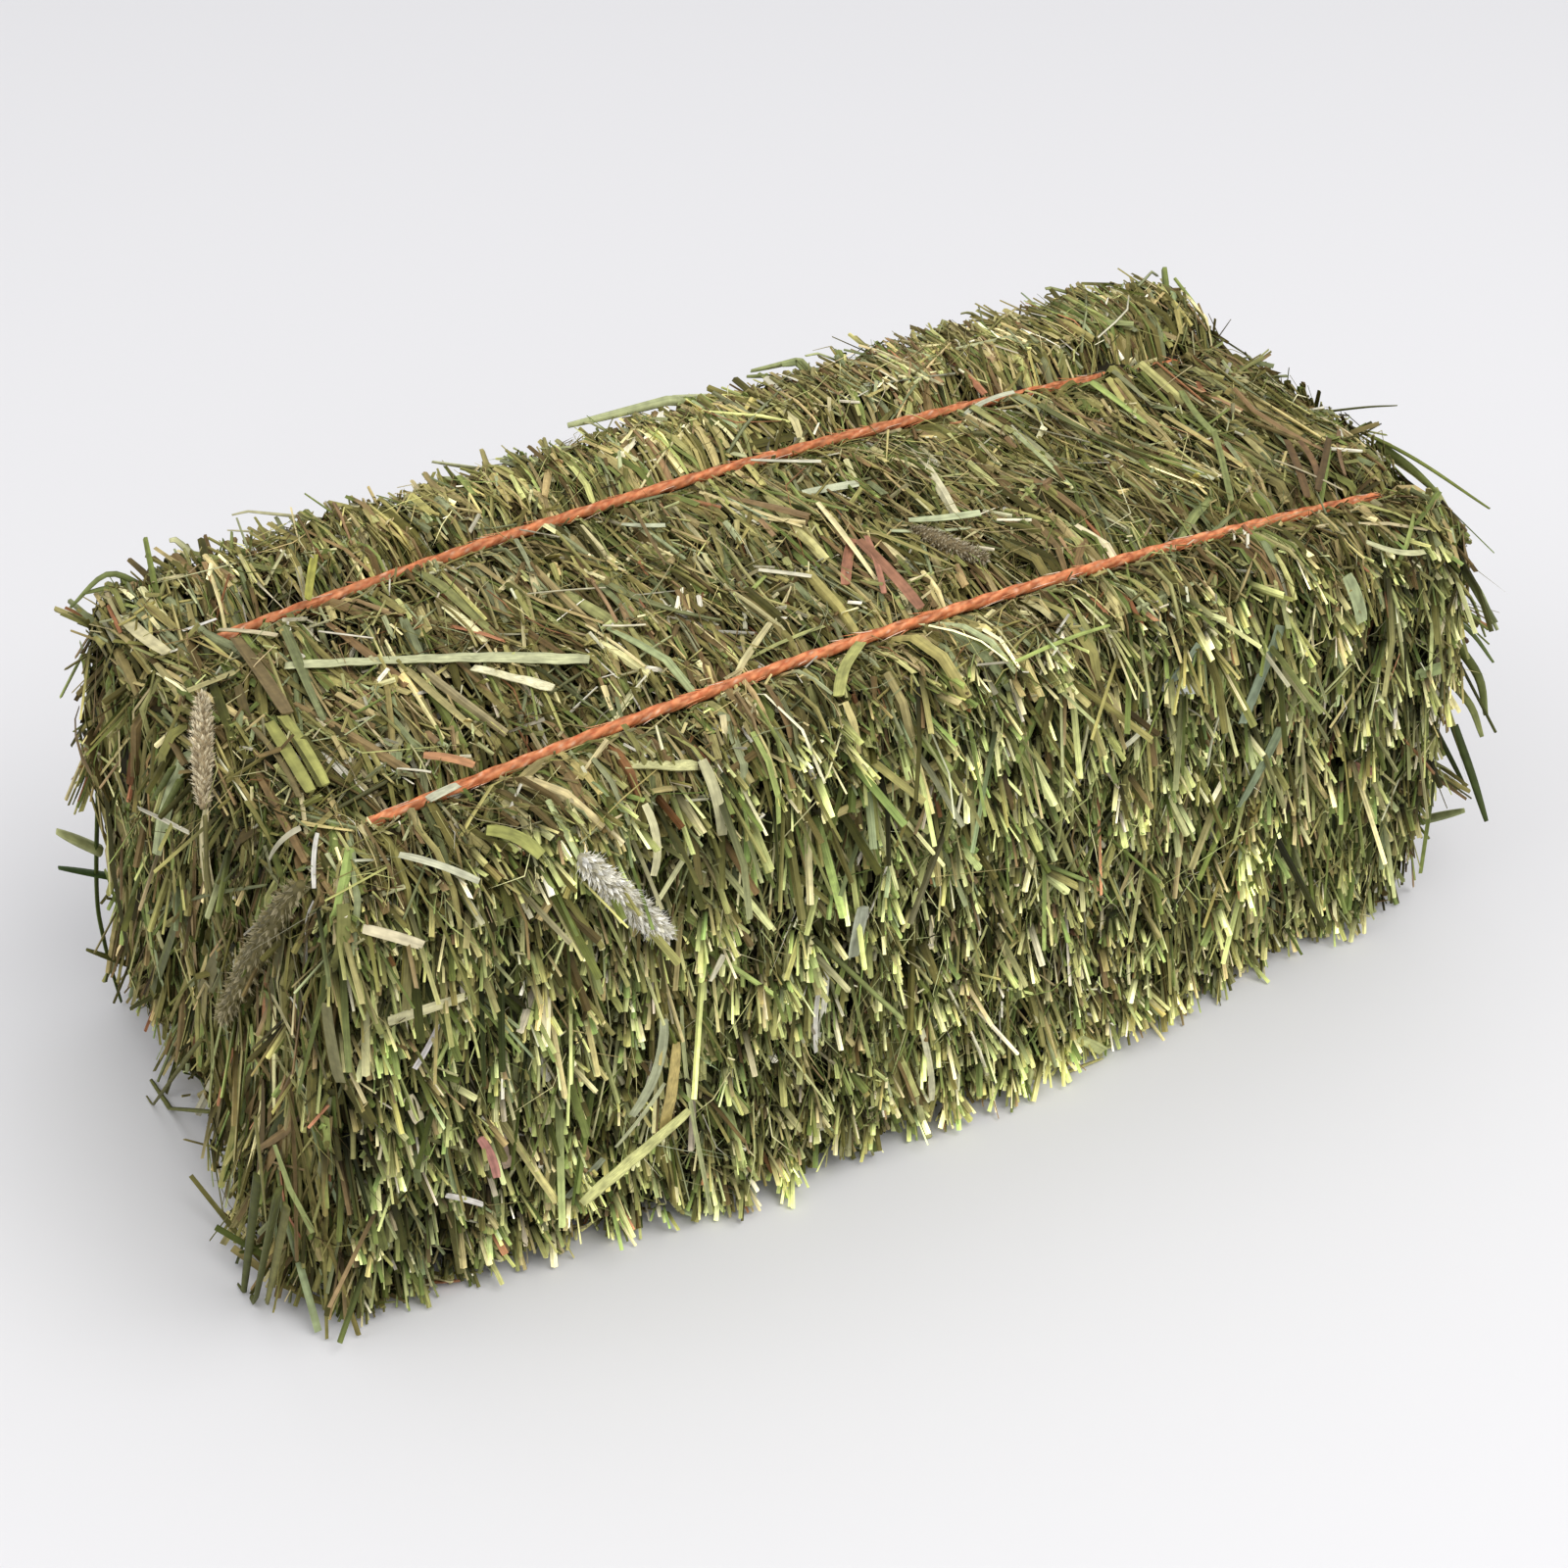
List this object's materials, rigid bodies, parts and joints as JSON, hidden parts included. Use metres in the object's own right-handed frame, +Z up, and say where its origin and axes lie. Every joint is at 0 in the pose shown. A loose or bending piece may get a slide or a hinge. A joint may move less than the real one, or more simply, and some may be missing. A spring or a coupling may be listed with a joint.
{
  "type": "square hay bale",
  "caption": "Small rectangular bale of pressed meadow hay, bound lengthwise with orange poly twine; rests on its flat underside.",
  "frame": {"origin": "middle of the underside: the bottom centre of the bale's bounding box, on the surface it rests on", "axes": "+X along the bale's length, the way the twines run; +Y across its width, away from the cut side; +Z up"},
  "size_m": [0.348, 0.166, 0.1268],
  "materials": {
    "pressed_hay": "dry grass stems and leaves, matt, olive to straw",
    "dry_blade": "pale dry leaf blades and stems, slight sheen",
    "seed_head": "bristly grass seed head, matt",
    "twine": "twisted coral orange polypropylene twine, slight gloss"
  },
  "bodies": {
    "root": {"flake_01": "pressed_hay", "flake_02": "pressed_hay", "flake_03": "pressed_hay", "flake_04": "pressed_hay", "flake_05": "pressed_hay", "flake_06": "pressed_hay", "flake_07": "pressed_hay", "flake_08": "pressed_hay", "flake_09": "pressed_hay", "flake_10": "pressed_hay", "flake_11": "pressed_hay", "flake_12": "pressed_hay", "flake_13": "pressed_hay", "flake_14": "pressed_hay", "flake_15": "pressed_hay", "flake_16": "pressed_hay", "long_blade": "dry_blade", "side_blade": "dry_blade", "bent_blade": "dry_blade", "front_blade_low": "dry_blade", "front_blade_high": "dry_blade", "straw_stem": "dry_blade", "seed_head_front": "seed_head", "seed_head_top": "seed_head", "seed_head_end": "seed_head", "twine_front": "twine", "twine_back": "twine"}
  },
  "joints": []
}
